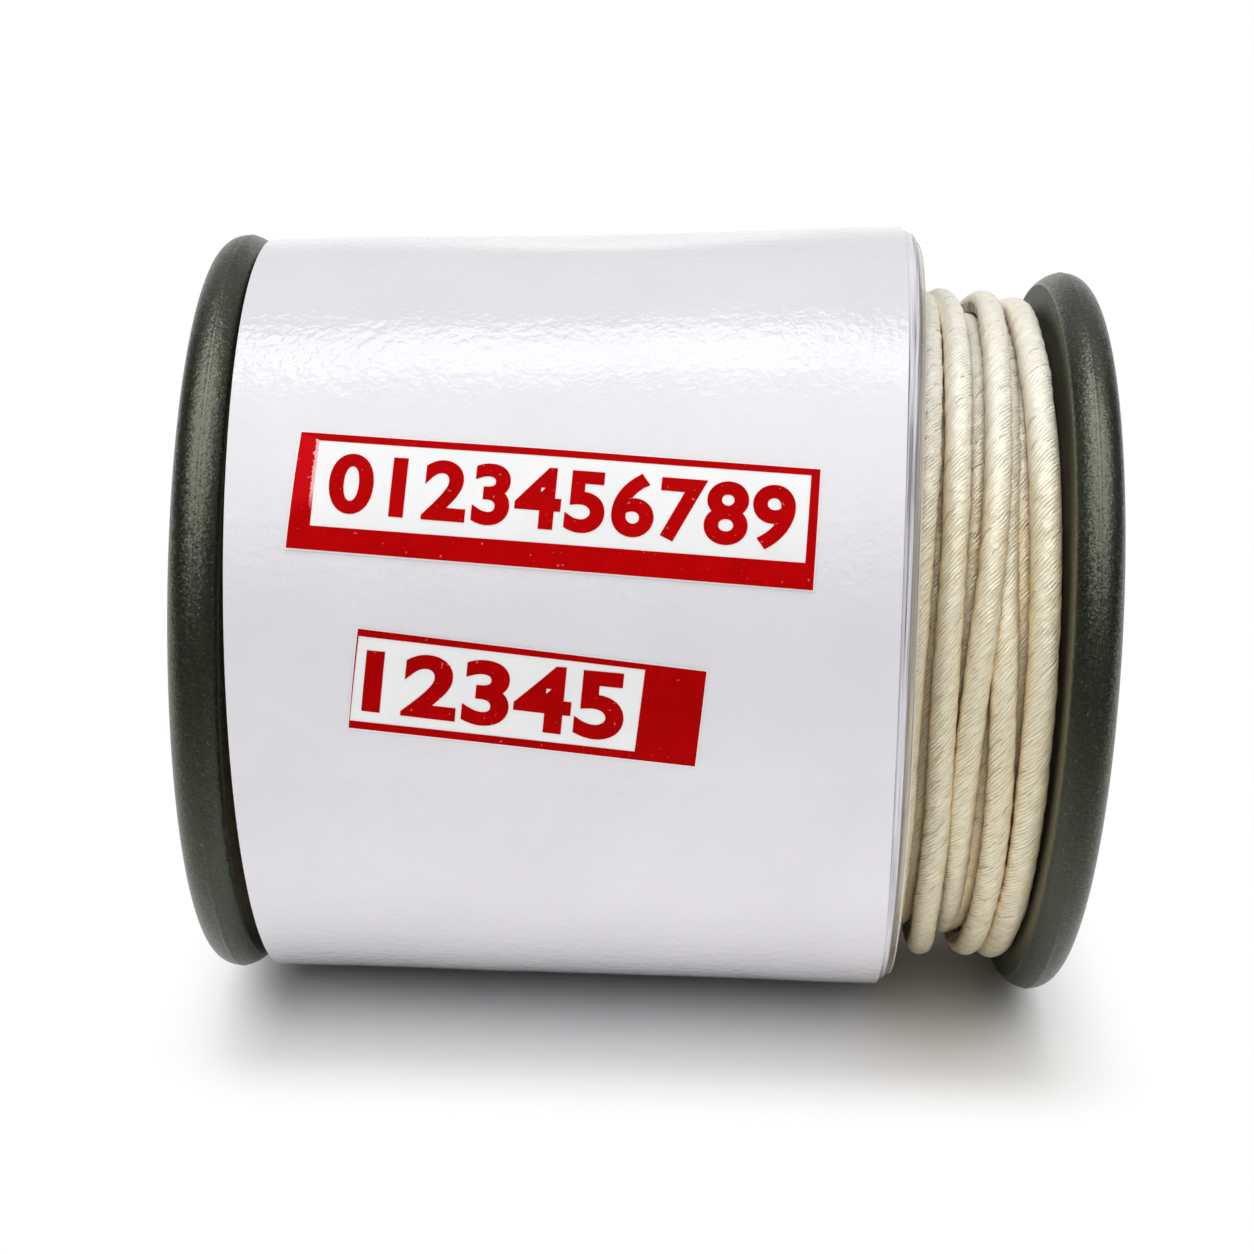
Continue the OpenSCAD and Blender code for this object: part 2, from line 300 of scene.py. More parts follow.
def make_piece(name, shells, material, sharp=None):
    """Mesh object from closed shells in millimetres, smooth but for edges sharper than
    sharp degrees."""
    points, faces, uvs, base = [], [], [], 0
    for shell in shells:
        turn = 1 if outward(shell["points"], shell["faces"]) else -1
        for block, uv in zip(shell["faces"], shell["uvs"]):
            faces.append(block[:, ::turn] + base)
            uvs.append(uv[:, ::turn])
        points.append(shell["points"])
        base += len(shell["points"])
    points = np.vstack(points) * MM
    sizes = np.concatenate([np.full(len(f), f.shape[1]) for f in faces])
    starts = np.concatenate([[0], np.cumsum(sizes)[:-1]])
    corners = np.concatenate([f.ravel() for f in faces])
    flat = np.concatenate([uv.reshape(-1, 2) for uv in uvs])
    mesh = bpy.data.meshes.new(name)
    mesh.vertices.add(len(points))
    mesh.vertices.foreach_set("co", points.astype(np.float32).ravel())
    mesh.loops.add(len(corners))
    mesh.loops.foreach_set("vertex_index", corners.astype(np.int32))
    mesh.polygons.add(len(sizes))
    mesh.polygons.foreach_set("loop_start", starts.astype(np.int32))
    mesh.polygons.foreach_set("use_smooth", np.ones(len(sizes), bool))
    layer = mesh.uv_layers.new(name="UVMap")
    layer.data.foreach_set("uv", flat.astype(np.float32).ravel())
    mesh.update(calc_edges=True)
    mesh.validate()
    if sharp is not None:
        mesh.set_sharp_from_angle(angle=math.radians(sharp))
    mesh.materials.append(material)
    return add_object(name, mesh)


def settle(piece, body, slot, *nodes):
    """Puts a finished piece on its body, in place of CAD nodes. The slot is not used."""
    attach(piece, body)
    if nodes:
        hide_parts(*nodes)


def smooth_noise(values, length, rng):
    """Even random waves along an array of positions: a sum of six sines of random phase
    with wavelengths from length up to four times that."""
    waves = np.zeros_like(values)
    for share in np.linspace(1, 4, 6):
        phase = rng.uniform(0, 2 * np.pi)
        waves += np.sin(2 * np.pi * values / (length * share) + phase)
    return waves / 3


def ease(t):
    """Smooth step from 0 to 1."""
    t = np.clip(t, 0, 1)
    return t * t * (3 - 2 * t)


# ---------------- materials

# Setting of a Map Range node with soft ends.
SOFT = {"interpolation_type": "SMOOTHSTEP"}


def colour(code):
    """Linear RGBA from an sRGB hex code, or a grey from a number."""
    if not isinstance(code, str):
        return [code] * 3 + [1.0]
    channels = [int(code[i:i + 2], 16) / 255 for i in (1, 3, 5)]
    return [c / 12.92 if c <= 0.04045 else ((c + 0.055) / 1.055) ** 2.4
            for c in channels] + [1.0]


def add_node(tree, kind, sockets=(), out=0, stops=(), **settings):
    """Adds one node, of a kind such as Bump or Math.ADD, and hands back its output of that
    name or number, or all of them. sockets are its first inputs in order, or a dict by
    name or number: each a value, a hex colour or another node's output. stops are a colour
    ramp's places, with a hex colour or a grey each, and settings the node's properties."""
    kind, _, operation = kind.partition(".")
    node = tree.nodes.new("ShaderNode" + kind)
    if operation:
        node.operation = operation
    for key, value in settings.items():
        setattr(node, key, value)
    for key, value in sockets.items() if isinstance(sockets, dict) else enumerate(sockets):
        if isinstance(value, bpy.types.NodeSocket):
            tree.links.new(value, node.inputs[key])
        else:
            node.inputs[key].default_value = colour(value) if isinstance(value, str) else value
    if stops:
        elements = node.color_ramp.elements
        while len(elements) < len(stops):
            elements.new(0.5)
        for element, (place, value) in zip(elements, stops.items()):
            element.position = place
            element.color = colour(value)
    return node.outputs if out is None else node.outputs[out]


def empty_tree(owner):
    """Clears the nodes of a material or world, and hands back what adds one to it."""
    owner.use_nodes = True
    owner.node_tree.nodes.clear()
    return partial(add_node, owner.node_tree)


def make_material(name, recipe, *choices):
    """Material from a recipe, which adds the nodes of its patterns and hands back what
    goes into the shader's sockets."""
    material = bpy.data.materials.new(name)
    add = empty_tree(material)
    shader = add("BsdfPrincipled", recipe(add, *choices))
    add("OutputMaterial", [shader], None)
    return material


def noise_of(add, place, stretch, scale, detail, roughness):
    """Noise on coordinates stretched along their axes."""
    return add("TexNoise", {"Vector": add("Mapping", {0: place, "Scale": stretch}),
                            "Scale": scale, "Detail": detail, "Roughness": roughness})


def grain_of(add, size, detail=2.0, roughness=0.5, stretch=(1, 1, 1)):
    """Noise through the piece whose grains are about size millimetres wide."""
    place = add("TexCoord", out="Object")
    return noise_of(add, place, stretch, 1 / (size * MM), detail, roughness)


def coats_of(add, body, *coats):
    """Colour under further colours, each with the share of it that shows."""
    for share, paint in coats:
        body = add("Mix", {0: share, 6: body, 7: paint}, 2, data_type="RGBA")
    return body


def moulded_polystyrene(add):
    """Charcoal polystyrene filled with graphite: flakes a twentieth of a millimetre wide,
    each tilted its own way, glint in its shine and give it a green cast. The flat inner face
    at the bare end is duller, and painted light makes it a paler olive-brown, least of all
    at its top and bottom. A painted highlight runs as a pale band along its rim."""
    place = add("TexCoord", out="Object")
    x, _, z = add("SeparateXYZ", [place], None)
    cloud = grain_of(add, 3.0, 3.0)
    body = add("ValToRGB", [cloud], stops={0.3: "#0b0d08", 0.7: "#11140c"})
    fleck = add("ValToRGB", [grain_of(add, 0.13, 1.0)], stops={0.66: 0.0, 0.76: 1.0})
    fleck = add("Math.MULTIPLY", [fleck, 0.3])
    out = add("Math.ABSOLUTE", [x])
    out = add("Math.SUBTRACT", [out, HALF_W * MM])
    flat = add("MapRange", [out, 0.01 * MM, 0.03 * MM, 1.0, 0.0])
    # Painted highlight: a pale band along the rim of the inner face.
    near = add("MapRange", [out, 0.03 * MM, 0.10 * MM, 1.0, 0.0])
    wear_and_edge_highlight = add("Math.SUBTRACT", [near, flat])
    wear_and_edge_highlight = add("Math.MULTIPLY", [wear_and_edge_highlight, 0.3])
    bare_end = add("Math.GREATER_THAN", [x, 0.0])
    flat = add("Math.MULTIPLY", [flat, bare_end])
    # Painted light: the inner face at the bare end paler olive-brown, least at its top and
    # bottom.
    level = add("Math.SUBTRACT", [z, FLANGE_R * MM])
    level = add("Math.ABSOLUTE", [level])
    painted_face_light = add("MapRange", [level, 6.5 * MM, 11.0 * MM, 1.0, 0.15], **SOFT)
    painted_face_light = add("Math.MULTIPLY", [flat, painted_face_light])
    rough = add("ValToRGB", [cloud], stops={0.2: 0.27, 0.8: 0.33})
    rough = add("Math.MULTIPLY_ADD", [flat, 0.25, rough])
    flake = add("TexVoronoi", {"Vector": place, "Scale": 1 / (FLAKE_W * MM)}, "Color")
    share = add("Math.MULTIPLY", [add("SeparateXYZ", [flake]), 0.45])
    body = coats_of(add, body, (fleck, "#7d8474"), (painted_face_light, "#6a644a"), (wear_and_edge_highlight, "#8c8a6c"),
                    (share, "#34382e"))
    tilt = add("VectorMath.SUBTRACT", [flake, (0.5,) * 3])
    skin = add("Bump", {"Height": grain_of(add, 0.16, 3.0, 0.65),
                        "Distance": 0.022 * MM})
    shine = add("VectorMath.MULTIPLY_ADD", [tilt, (FLAKE_TILT,) * 3, skin])
    shine = add("VectorMath.NORMALIZE", [shine])
    return {"Base Color": body, "Roughness": rough, "IOR": 1.65, "Normal": shine,
            "Specular IOR Level": 0.68, "Specular Tint": "#eff5da"}


def extruded_polystyrene(add):
    """Black extruded polystyrene tube: fine lines along it from the die."""
    lines = grain_of(add, 0.2, stretch=(0.05, 1, 1))
    return {"Base Color": add("ValToRGB", [lines], stops={0.3: "#262826", 0.7: "#323532"}),
            "Roughness": 0.42, "IOR": 1.59,
            "Normal": add("Bump", {"Height": lines, "Distance": 0.01 * MM})}


def cotton_lapping(add, pale, mid, deep, tan, sense=1):
    """Ribbon of fine cotton threads wound round the wire at 45 degrees: silky cream
    threads with loose fibres that break their shine, and here and there a crease where
    one ribbon's edge lies on the next, with painted shade in it. The colour is darker in
    the grooves between threads, painted shade, and varies at random along the fibres.
    The side that faces out is pale, and a painted highlight whitens the cotton on top of
    the spool; painted shade turns the sides tan, and near black in dashes where turns
    press together. U is the distance along the wire in millimetres, V the share of the
    way round from the side that faces the spool."""
    place = add("TexCoord", out="Object")
    u, v, _ = add("SeparateXYZ", [add("UVMap", uv_map="UVMap")], None)
    along = add("Math.MULTIPLY", [u, sense / LAY])
    across = add("Math.ADD", [along, v])
    down = add("Math.SUBTRACT", [along, v])
    helix = add("CombineXYZ", [across, down])
    drift = add("Math.SUBTRACT", [grain_of(add, 0.7), 0.5])

    def phase(starts, wander):
        """Turns of a helix with that many starts, bent a little by the drift."""
        turns = add("Math.MULTIPLY", [across, starts])
        return add("Math.MULTIPLY_ADD", [drift, wander, turns])

    def fibres(width, length):
        """Streaks of that width and length in millimetres along the threads."""
        lay = LAY / math.sqrt(2)
        return noise_of(add, helix, (lay / width, lay / length, 1), 1.0, 2.0, 0.6)

    # Threads are the hump of a sine each, and they show only where the wax is rubbed off.
    thread = add("Math.MULTIPLY", [phase(THREADS, 1.3), math.pi])
    thread = add("Math.ABSOLUTE", [add("Math.SINE", [thread])])
    thread = add("Math.POWER", [thread, 0.6])
    # The tone takes the threads' humps as well as the fibres: painted shade in the grooves
    # between threads.
    tone = add("Math.MULTIPLY", [fibres(0.09, 0.5), 0.68])
    tone = add("Math.MULTIPLY_ADD", [thread, 0.24, tone])
    clear = add("ValToRGB", [grain_of(add, 0.6, 1.0)], stops={0.4: 0.1, 0.62: 1.0})
    thread = add("Math.MULTIPLY", [thread, clear])
    crease = add("Math.FRACT", [phase(RIBBONS, 0.7)])
    crease = add("ValToRGB", [crease], stops={0.0: 1.0, 0.05: 0.0, 0.97: 0.0, 1.0: 1.0})
    some = add("ValToRGB", [grain_of(add, 0.7, 1.0)], stops={0.54: 0.0, 0.6: 1.0})
    crease = add("Math.MULTIPLY", [crease, some])
    height = add("Math.MULTIPLY", [thread, 0.7])
    for relief, share in ((fibres(0.09, 0.9), 0.6), (fibres(0.045, 0.4), 0.7),
                          (fibres(0.26, 0.9), 1.7), (crease, -0.65)):
        height = add("Math.MULTIPLY_ADD", [relief, share, height])

    body = add("ValToRGB", [tone], stops={0.28: deep, 0.48: mid, 0.66: pale})
    high = add("SeparateXYZ", [place], 2)
    # Painted highlight: the cotton on top of the spool whiter.
    painted_top_highlight = add("MapRange", [high, 20.8 * MM, 26.0 * MM, 0.0, 0.92], **SOFT)
    sideways = add("Math.SUBTRACT", [v, 0.5])
    sideways = add("Math.ABSOLUTE", [sideways])
    # Painted shade: the sides of the wire, between turns, tan, less on top.
    painted_side_shade = add("Math.MULTIPLY_ADD", [drift, 0.12, sideways])
    painted_side_shade = add("MapRange", [painted_side_shade, 0.11, 0.27], **SOFT)
    fade = add("Math.MULTIPLY_ADD", [painted_top_highlight, -0.38, 0.72])
    painted_side_shade = add("Math.MULTIPLY", [painted_side_shade, fade])
    # Painted shade: near-black dashes where turns press together.
    dashes = add("ValToRGB", [grain_of(add, 0.5, 1.0)], stops={0.42: 0.25, 0.5: 1.0})
    painted_gap_shade = add("ValToRGB", [sideways], stops={0.215: 0.0, 0.25: 0.9})
    painted_gap_shade = add("Math.MULTIPLY", [painted_gap_shade, dashes])
    # Painted shade in the creases, less on top of the spool.
    fade = add("Math.MULTIPLY_ADD", [painted_top_highlight, -0.1, 0.7])
    crease = add("Math.MULTIPLY", [crease, fade])
    body = coats_of(add, body, (painted_top_highlight, "#fffbea"), (painted_side_shade, tan), (painted_gap_shade, "#33240f"),
                    (crease, "#7a5a26"))
    return {"Base Color": body, "Roughness": 0.33, "IOR": 1.85, "Specular IOR Level": 1.0,
            "Anisotropic": 0.92, "Anisotropic Rotation": 0.375 * sense,
            "Tangent": add("Tangent", direction_type="UV_MAP", uv_map="UVMap"),
            "Normal": add("Bump", {"Height": height, "Distance": 0.038 * MM})}


def glossy_paper(add):
    """Machine-coated white paper with a faint lilac tint: its varnish has an orange-peel
    skin that tears the edges of a reflection."""
    peel = grain_of(add, 0.42, 2.0, 0.6)
    fibre = grain_of(add, 0.1, 2.0, 0.6)
    skin = add("Math.MULTIPLY_ADD", [fibre, 0.12, peel])
    return {
        "Base Color": add("ValToRGB", [grain_of(add, 4.0)],
                          stops={0.3: "#e0dee2", 0.7: "#e4e2e6"}),
        "Roughness": add("ValToRGB", [grain_of(add, 1.4)], stops={0.3: 0.05, 0.7: 0.12}),
        "IOR": 1.47, "Normal": add("Bump", {"Height": skin, "Distance": 0.038 * MM})}


def clear_film(add):
    """Clear cellulose film gone a little milky: pulled tight, it has fine folds round the
    spool. The outer turn, over the inner one, looks whiter, and its cut edge darker; the
    inner turn's edge catches the light. U is the distance round from the film's start and
    V the distance from its loose edge, in millimetres."""
    uv = add("UVMap", uv_map="UVMap")
    u, v, _ = add("SeparateXYZ", [uv], None)
    folds = noise_of(add, uv, (0.12, 7.0, 1), 1.0, 3.0, 0.6)
    outer = add("MapRange", [u, 80.0, 86.0])
    rim = add("ValToRGB", [v], stops={0.02: 1.0, 0.06: 0.0})
    under = add("ValToRGB", [folds], stops={0.35: "#857c70", 0.5: "#bdb5aa", 0.65: "#e9e3d8"})
    over = add("ValToRGB", [folds], stops={0.38: "#8f898f", 0.48: "#dedbe3", 0.6: "#fcfbff"})
    cut = coats_of(add, "#f3ecdd", (outer, "#6b655f"))
    most = add("Math.MULTIPLY", [rim, 0.8])
    body = coats_of(add, under, (outer, over), (most, cut))
    cover = add("Math.MULTIPLY_ADD", [folds, -0.4, 0.7])
    cover = add("Math.MULTIPLY_ADD", [outer, 0.3, cover])
    cover = add("Math.MULTIPLY_ADD", [rim, 0.4, cover], use_clamp=True)
    return {"Base Color": body, "Roughness": 0.14, "IOR": 1.47, "Alpha": cover,
            "Normal": add("Bump", {"Height": folds, "Distance": 0.03 * MM})}


def clear_tape(add):
    """Clear adhesive tape, a little yellowed, with fine ripples across it."""
    ripple = grain_of(add, 0.5, stretch=(0.3, 1, 1))
    return {"Base Color": add("ValToRGB", [ripple], stops={0.3: "#e9ddb4", 0.7: "#f4ecd2"}),
            "Roughness": 0.16, "IOR": 1.48, "Alpha": 0.12,
            "Normal": add("Bump", {"Height": ripple, "Distance": 0.012 * MM})}


def label_paper(add):
    """Smooth coated label paper, whiter than the sleeve."""
    body = add("ValToRGB", [grain_of(add, 1.6, 3.0)],
               stops={0.3: "#ebedec", 0.7: "#f2f3f2"})
    skin = grain_of(add, 0.3)
    return {"Base Color": body, "Roughness": 0.3, "IOR": 1.5,
            "Normal": add("Bump", {"Height": skin, "Distance": 0.004 * MM})}


def red_ink(add, light, dark, wear_and_edge_highlight=False):
    """Printed red ink: uneven cover leaves darker clouds, and where worn is set the inner
    edge of the left bar has rubbed pink. U is the distance round the frame from its top
    left corner in millimetres, V the share of the way in from its outer edge."""
    body = add("ValToRGB", [grain_of(add, 0.9, 3.0, 0.6)], stops={0.3: dark, 0.7: light})
    if wear_and_edge_highlight:
        u, v, _ = add("SeparateXYZ", [add("UVMap", uv_map="UVMap")], None)
        left = add("Math.SUBTRACT", [u, 40.2])
        left = add("ValToRGB", [left], stops={0.0: 0.0, 0.9: 1.0})
        inner = add("Math.MULTIPLY_ADD", [grain_of(add, 0.12), 0.3, v])
        rub = add("ValToRGB", [inner], stops={0.98: 0.0, 1.12: 1.0})
        fade = add("Math.MULTIPLY", [rub, left])
        half = add("Math.MULTIPLY", [left, 0.5])
        body = coats_of(add, body, (half, "#e0101a"), (fade, "#f0b9bb"))
    speck = add("ValToRGB", [grain_of(add, 0.13, 0.0)], stops={0.8: 0.0, 0.84: 1.0})
    speck = add("Math.MULTIPLY", [speck, 0.35])
    body = coats_of(add, body, (speck, "#e88a8c"))
    skin = grain_of(add, 0.25)
    return {"Base Color": body, "Roughness": 0.5, "IOR": 1.5, "Specular IOR Level": 0.02,
            "Normal": add("Bump", {"Height": skin, "Distance": 0.004 * MM})}


def drawn_copper(add):
    """Drawn copper wire: fine lines along it from the die, dulled a little brown."""
    lines = noise_of(add, add("UVMap", uv_map="UVMap"), (0.6, 26.0, 1), 1.0, 2.0, 0.5)
    return {"Base Color": add("ValToRGB", [lines], stops={0.3: "#a85b34", 0.7: "#cf8256"}),
            "Metallic": 1.0, "Roughness": 0.3,
            "Normal": add("Bump", {"Height": lines, "Distance": 0.006 * MM})}


# ---------------- flanges

def flange_profile():
    """Closed section of a flange as (radius, distance outwards from the inner face): up
    the inner face, over the rim, whose slope and rounding are quarters of superellipses
    with the fine flash of the parting line between them, down the band, across the recess
    with filleted corners, over the boss, along the bore and back over the spigot."""
    def quarter(start, stop, steps, full):
        t = np.radians(np.linspace(start, stop, steps))
        return np.sin(t) ** (2 / full), 1 - np.cos(t) ** (2 / full)

    def fillet(r, start, stop):
        a = np.radians(np.linspace(start, stop, 7))
        return np.stack([r + FILLET * np.cos(a), WEB_T + FILLET + FILLET * np.sin(a)], -1)

    def flat(start, stop, level):
        return np.stack([np.linspace(start, stop, 6), np.full(6, level)], -1)

    up, out = quarter(4, 84, 15, SLOPE_FULL)
    slope = np.stack([FLANGE_R - SLOPE_DROP * (1 - up) - FLASH_H * up, SLOPE_W * out], -1)
    slope = slope[slope[:, 1] < SLOPE_W - 1.2 * FLASH_W]
    flash = [(FLANGE_R - FLASH_H, SLOPE_W - FLASH_W), (FLANGE_R, SLOPE_W - FLASH_W / 3),
             (FLANGE_R, SLOPE_W + FLASH_W / 3), (FLANGE_R - FLASH_H, SLOPE_W + FLASH_W)]
    up, out = quarter(90, 0, 27, ROUND_FULL)
    rounding = np.stack([FLANGE_R - FLASH_H - (ROUND_DROP - FLASH_H) * (1 - up),
                         SLOPE_W + ROUND_W * (1 - out)], -1)
    rounding = rounding[ROUND_W * (1 - out) > 1.2 * FLASH_W]
    return np.vstack([
        [(SPIGOT_R, -SPIGOT_L), (SPIGOT_R, -0.02), (SPIGOT_R + 0.02, 0.0)],
        flat(6.2, FLANGE_R - SLOPE_DROP - 0.5, 0.0), slope, flash, rounding,
        (BAND_R, RIM_T) + EDGE_BREAK, fillet(BAND_R - FILLET, 0, -90),
        flat(10.6, 6.6, WEB_T), fillet(BOSS_R + FILLET, -90, -180),
        (BOSS_R, RIM_T) + EDGE_BREAK[::-1] * (-1, 1),
        [(BORE_R + BORE_BREAK, RIM_T), (BORE_R, RIM_T - BORE_BREAK), (BORE_R, -SPIGOT_L)]])


def pierce(piece, ends, radius):
    """Cuts a round hole along X between two points through a piece, by a boolean that is
    applied at once."""
    a = np.linspace(0, 2 * np.pi, HOLE_SIDES, endpoint=False)
    ring = np.stack([np.zeros(HOLE_SIDES), radius * np.cos(a), radius * np.sin(a)], -1)
    shell = grid_shell(ring + ends[:, None], wrap_columns=True)
    close_ends(shell, HOLE_SIDES, ends)
    drill = make_piece("drill", [shell], None)
    cut = piece.modifiers.new("hole", "BOOLEAN")
    cut.object = drill
    cut.operation = "DIFFERENCE"
    cut.solver = "EXACT"
    bpy.context.view_layer.update()
    view = bpy.context.evaluated_depsgraph_get()
    piece_mesh = bpy.data.meshes.new_from_object(piece.evaluated_get(view))
    piece.modifiers.clear()
    piece.data = piece_mesh
    bpy.data.objects.remove(drill)
    piece_mesh.set_sharp_from_angle(angle=math.radians(40))


def make_flange(name, side, material):
    """Flange moulding on the side of +X or -X, with the hole for the wire's first end."""
    profile = flange_profile()
    profile[:, 1] = side * (HALF_W + profile[:, 1])
    piece = make_piece(name, [lathe_shell(profile, FLANGE_SIDES)], material, sharp=40)
    y, z = START_R * math.sin(START_ANGLE), FLANGE_R - START_R * math.cos(START_ANGLE)
    ends = np.array([(side * (HALF_W - 1), y, z), (side * (HALF_W + WEB_T + 1), y, z)])
    pierce(piece, ends, START_HOLE_R)
    return piece


# ---------------- winding

# Turns at the bare end, as (degrees above the front, x, depth below the outer layer).
BARE_TURNS = [
    [(90, 9.90, 0), (79, 9.82, 0), (57, 9.60, 0), (38, 9.42, 0), (22, 9.18, 0),
     (7, 9.08, 0), (-5, 9.10, 0), (-38, 9.30, 0), (-66, 9.62, 0), (-120, 10.05, 0)],
    [(120, 10.60, 0), (94, 10.78, 0), (79, 10.82, 0), (57, 10.66, 0), (38, 10.49, 0),
     (22, 10.36, 0), (7, 10.31, 0), (-4, 10.35, 0), (-15, 10.47, 0), (-38, 10.60, 0),
     (-66, 11.05, 0), (-120, 11.70, 0)],
    [(120, 12.20, 0), (94, 12.42, 0), (80, 12.24, 0), (57, 12.08, 0), (38, 11.93, 0),
     (30, 11.81, 0), (22, 11.66, 0), (15, 11.54, 0), (7, 11.38, 0), (-4, 11.28, 0.05),
     (-15, 11.30, 0.2), (-26, 11.42, 0.45), (-45, 11.70, 0.8), (-66, 11.95, 0.86),
     (-120, 12.45, 0.86)],
    [(120, 12.85, 0.86), (94, 12.95, 0.86), (60, 12.62, 0.86), (47, 12.46, 0.84),
     (38, 12.40, 0.80), (30, 12.34, 0.72), (22, 12.34, 0.55), (15, 12.34, 0.35),
     (7, 12.38, 0.05), (-4, 12.51, 0), (-15, 12.63, 0), (-26, 12.72, 0),
     (-38, 12.76, 0), (-66, 12.86, 0), (-120, 13.00, 0)],
    [(120, 13.50, 0.1), (98, 13.66, 0.3), (81, 13.50, 0.25), (57, 13.51, 0.05),
     (39, 13.58, 0), (22, 13.65, 0), (7, 13.67, 0), (-4, 13.67, 0), (-15, 13.75, 0),
     (-26, 13.79, 0), (-38, 13.80, 0), (-66, 13.92, 0), (-120, 13.92, 0)],
]
# Turns of the layer below at the bare end, in the same way, from the flange inwards.
LOWER_TURNS = [
    [(90, 13.80, 0.35), (0, 13.75, 0.35), (-66, 13.75, 0.2)],
    [(90, 13.20, 0.2), (45, 13.00, 0.1), (0, 12.98, 0), (-66, 13.20, 0)],
    [(90, 12.30, 0.5), (45, 11.95, 0.3), (0, 11.90, 0), (-18, 12.02, 0), (-66, 12.25, 0.1)],
    [(92, 11.75, 0), (75, 11.62, 0), (60, 11.48, 0), (49, 11.36, 0), (40, 11.29, 0),
     (31, 11.17, 0), (22, 11.07, 0), (7, 10.85, 0), (-18, 10.90, 0.2), (-66, 11.2, 0.7)],
    [(90, 10.30, 0.05), (45, 10.0, 0), (7, 9.74, 0), (-6, 9.80, 0), (-18, 9.90, 0),
     (-66, 10.1, 0.2)],
]
ALL_LOOPS = COVERED_LOOPS + len(BARE_TURNS)


def turn_knots(start, turns):
    """Knots (angle wound, x, depth) of a table of turns that begin at the angle start."""
    return [(start + loop * 360 + 180 - phi, x, depth)
            for loop, turn in enumerate(turns) for phi, x, depth in turn]


def softened(knots, width):
    """Every degree wound, and x and depth there: straight between the knots, then averaged
    under a Hann window that many degrees wide."""
    t, x, depth = np.transpose(knots)
    fine = np.arange(0, t[-1] + 1.0, 1.0)
    window = np.hanning(width + 3)[1:-1]
    window /= window.sum()
    padded = [np.pad(np.interp(fine, t, row), width // 2, mode="edge") for row in (x, depth)]
    return fine, *(np.convolve(row, window, mode="valid") for row in padded)


def dive(t):
    """Depth at which an end of the wire starts, easing to nothing over its first degrees."""
    return DIVE * (1 - ease(t / DIVE_DEG))


def wound_path(t, fine, x, depth):
    """Points of a winding: t is the angle wound in degrees, counting from the back over
    the top and down the front. x, the place along the spool, and depth, how far the wire
    lies below the outer layer, are given at every fine degree. The winding's axis stands a
    little above the spool's."""
    phi = np.radians(180 - t)
    r = TURN_R - np.interp(t, fine, depth)
    return np.stack([np.interp(t, fine, x), -r * np.cos(phi),
                     FLANGE_R + TURN_RISE + r * np.sin(phi)], -1)


def ribbon_share(run, sides):
    """How far across its ribbon of threads each point of a tube lies, from 0 to 1."""
    turns = RIBBONS * (run[:, None] / LAY + np.arange(sides) / sides)
    return turns - np.floor(turns)


def outer_winding(material):
    """Outer layer: an even helix under the wrap, then the turns of the table, which lie
    loosely and cross at the back. Both ends dive into the layers below. Rings stand close
    at the bare end, where the ribbons of the lap show in relief: each rises steeply at its
    edge and falls off across its width."""
    rng = np.random.default_rng(SEED)
    start = COVERED_LOOPS * 360
    knots = [(0.0, FIRST_X, 0.0)]
    knots += [(loop * 360 - 90, FIRST_X + COVERED_PITCH * (loop - 0.25), 0.0)
              for loop in range(1, COVERED_LOOPS + 1)]
    knots += turn_knots(start, BARE_TURNS)
    knots.append((ALL_LOOPS * 360, knots[-1][1], 0.0))
    fine, x, depth = softened(knots, 24)
    depth += dive(fine) + dive(fine[-1] - fine)
    x = x + WANDER * smooth_noise(fine, 50, rng)
    depth = depth + WANDER * smooth_noise(fine, 37, rng)
    t = np.concatenate([np.arange(0, start, 3.75), np.arange(start, fine[-1] + 0.01, 0.8)])
    centres = wound_path(t, fine, x, depth)
    run = run_along(centres)
    share = ribbon_share(run, 20)
    fall = 1 - RIBBON_FALL * ease((share - RIBBON_RISE) / (1 - RIBBON_RISE))
    ribbon = np.where(share < RIBBON_RISE, ease(share / RIBBON_RISE), fall)
    relief = RIBBON_RELIEF * (ribbon - 0.7) * ease((t - start + 60) / 60)[:, None]
    swell = SWELL * smooth_noise(run, 2.0, rng) + LAST_TURN_MORE * ease((t - fine[-1] + 360) / 50)
    shell = tube_shell(centres, WIRE_R + relief + swell[:, None])
    return make_piece("outer_turns_wire", [shell], material)


def lower_winding(material):
    """Layer below the outer one, wound the other way, and the plain body of the layers
    under it. The winding's angle counts as for the outer layer, but x falls as it grows,
    and its start comes up out of the layers below."""
    loops = len(LOWER_TURNS)
    knots = [(0.0, 14.0, 0.0)] + turn_knots(0, LOWER_TURNS)
    knots += [(loop * 360 + 180, LOWER_X - LOWER_PITCH * (loop - loops + 1), 0.0)
              for loop in range(loops, ALL_LOOPS)]
    knots.append((ALL_LOOPS * 360, knots[-1][1] - 0.4, 0.0))
    fine, x, depth = softened(knots, 30)
    depth += LAYER_STEP
    depth += dive(fine)
    t = np.concatenate([np.arange(0, loops * 360, 1.5), np.arange(loops * 360, fine[-1], 5.0)])
    layer = tube_shell(wound_path(t, fine, x, depth), np.full((len(t), 14), WIRE_R))
    half = HALF_W - CORE_GAP
    profile = np.array([(CORE_BORE, -half), (CORE_R, -half), (CORE_R, half), (CORE_BORE, half)])
    around = np.linspace(0, 2 * np.pi * CORE_R, CORE_SIDES + 1)
    # V stays where the painted side shade turns the cotton tan, partly under the painted gap
    # shade, so the body shows as plain threads in the gaps.
    side = np.array([0.255, 0.26, 0.275, 0.28, 0.285])
    core = lathe_shell(profile, CORE_SIDES, np.stack(np.meshgrid(around, side), -1))
    return make_piece("inner_layers_wire", [layer, core], material, sharp=50)


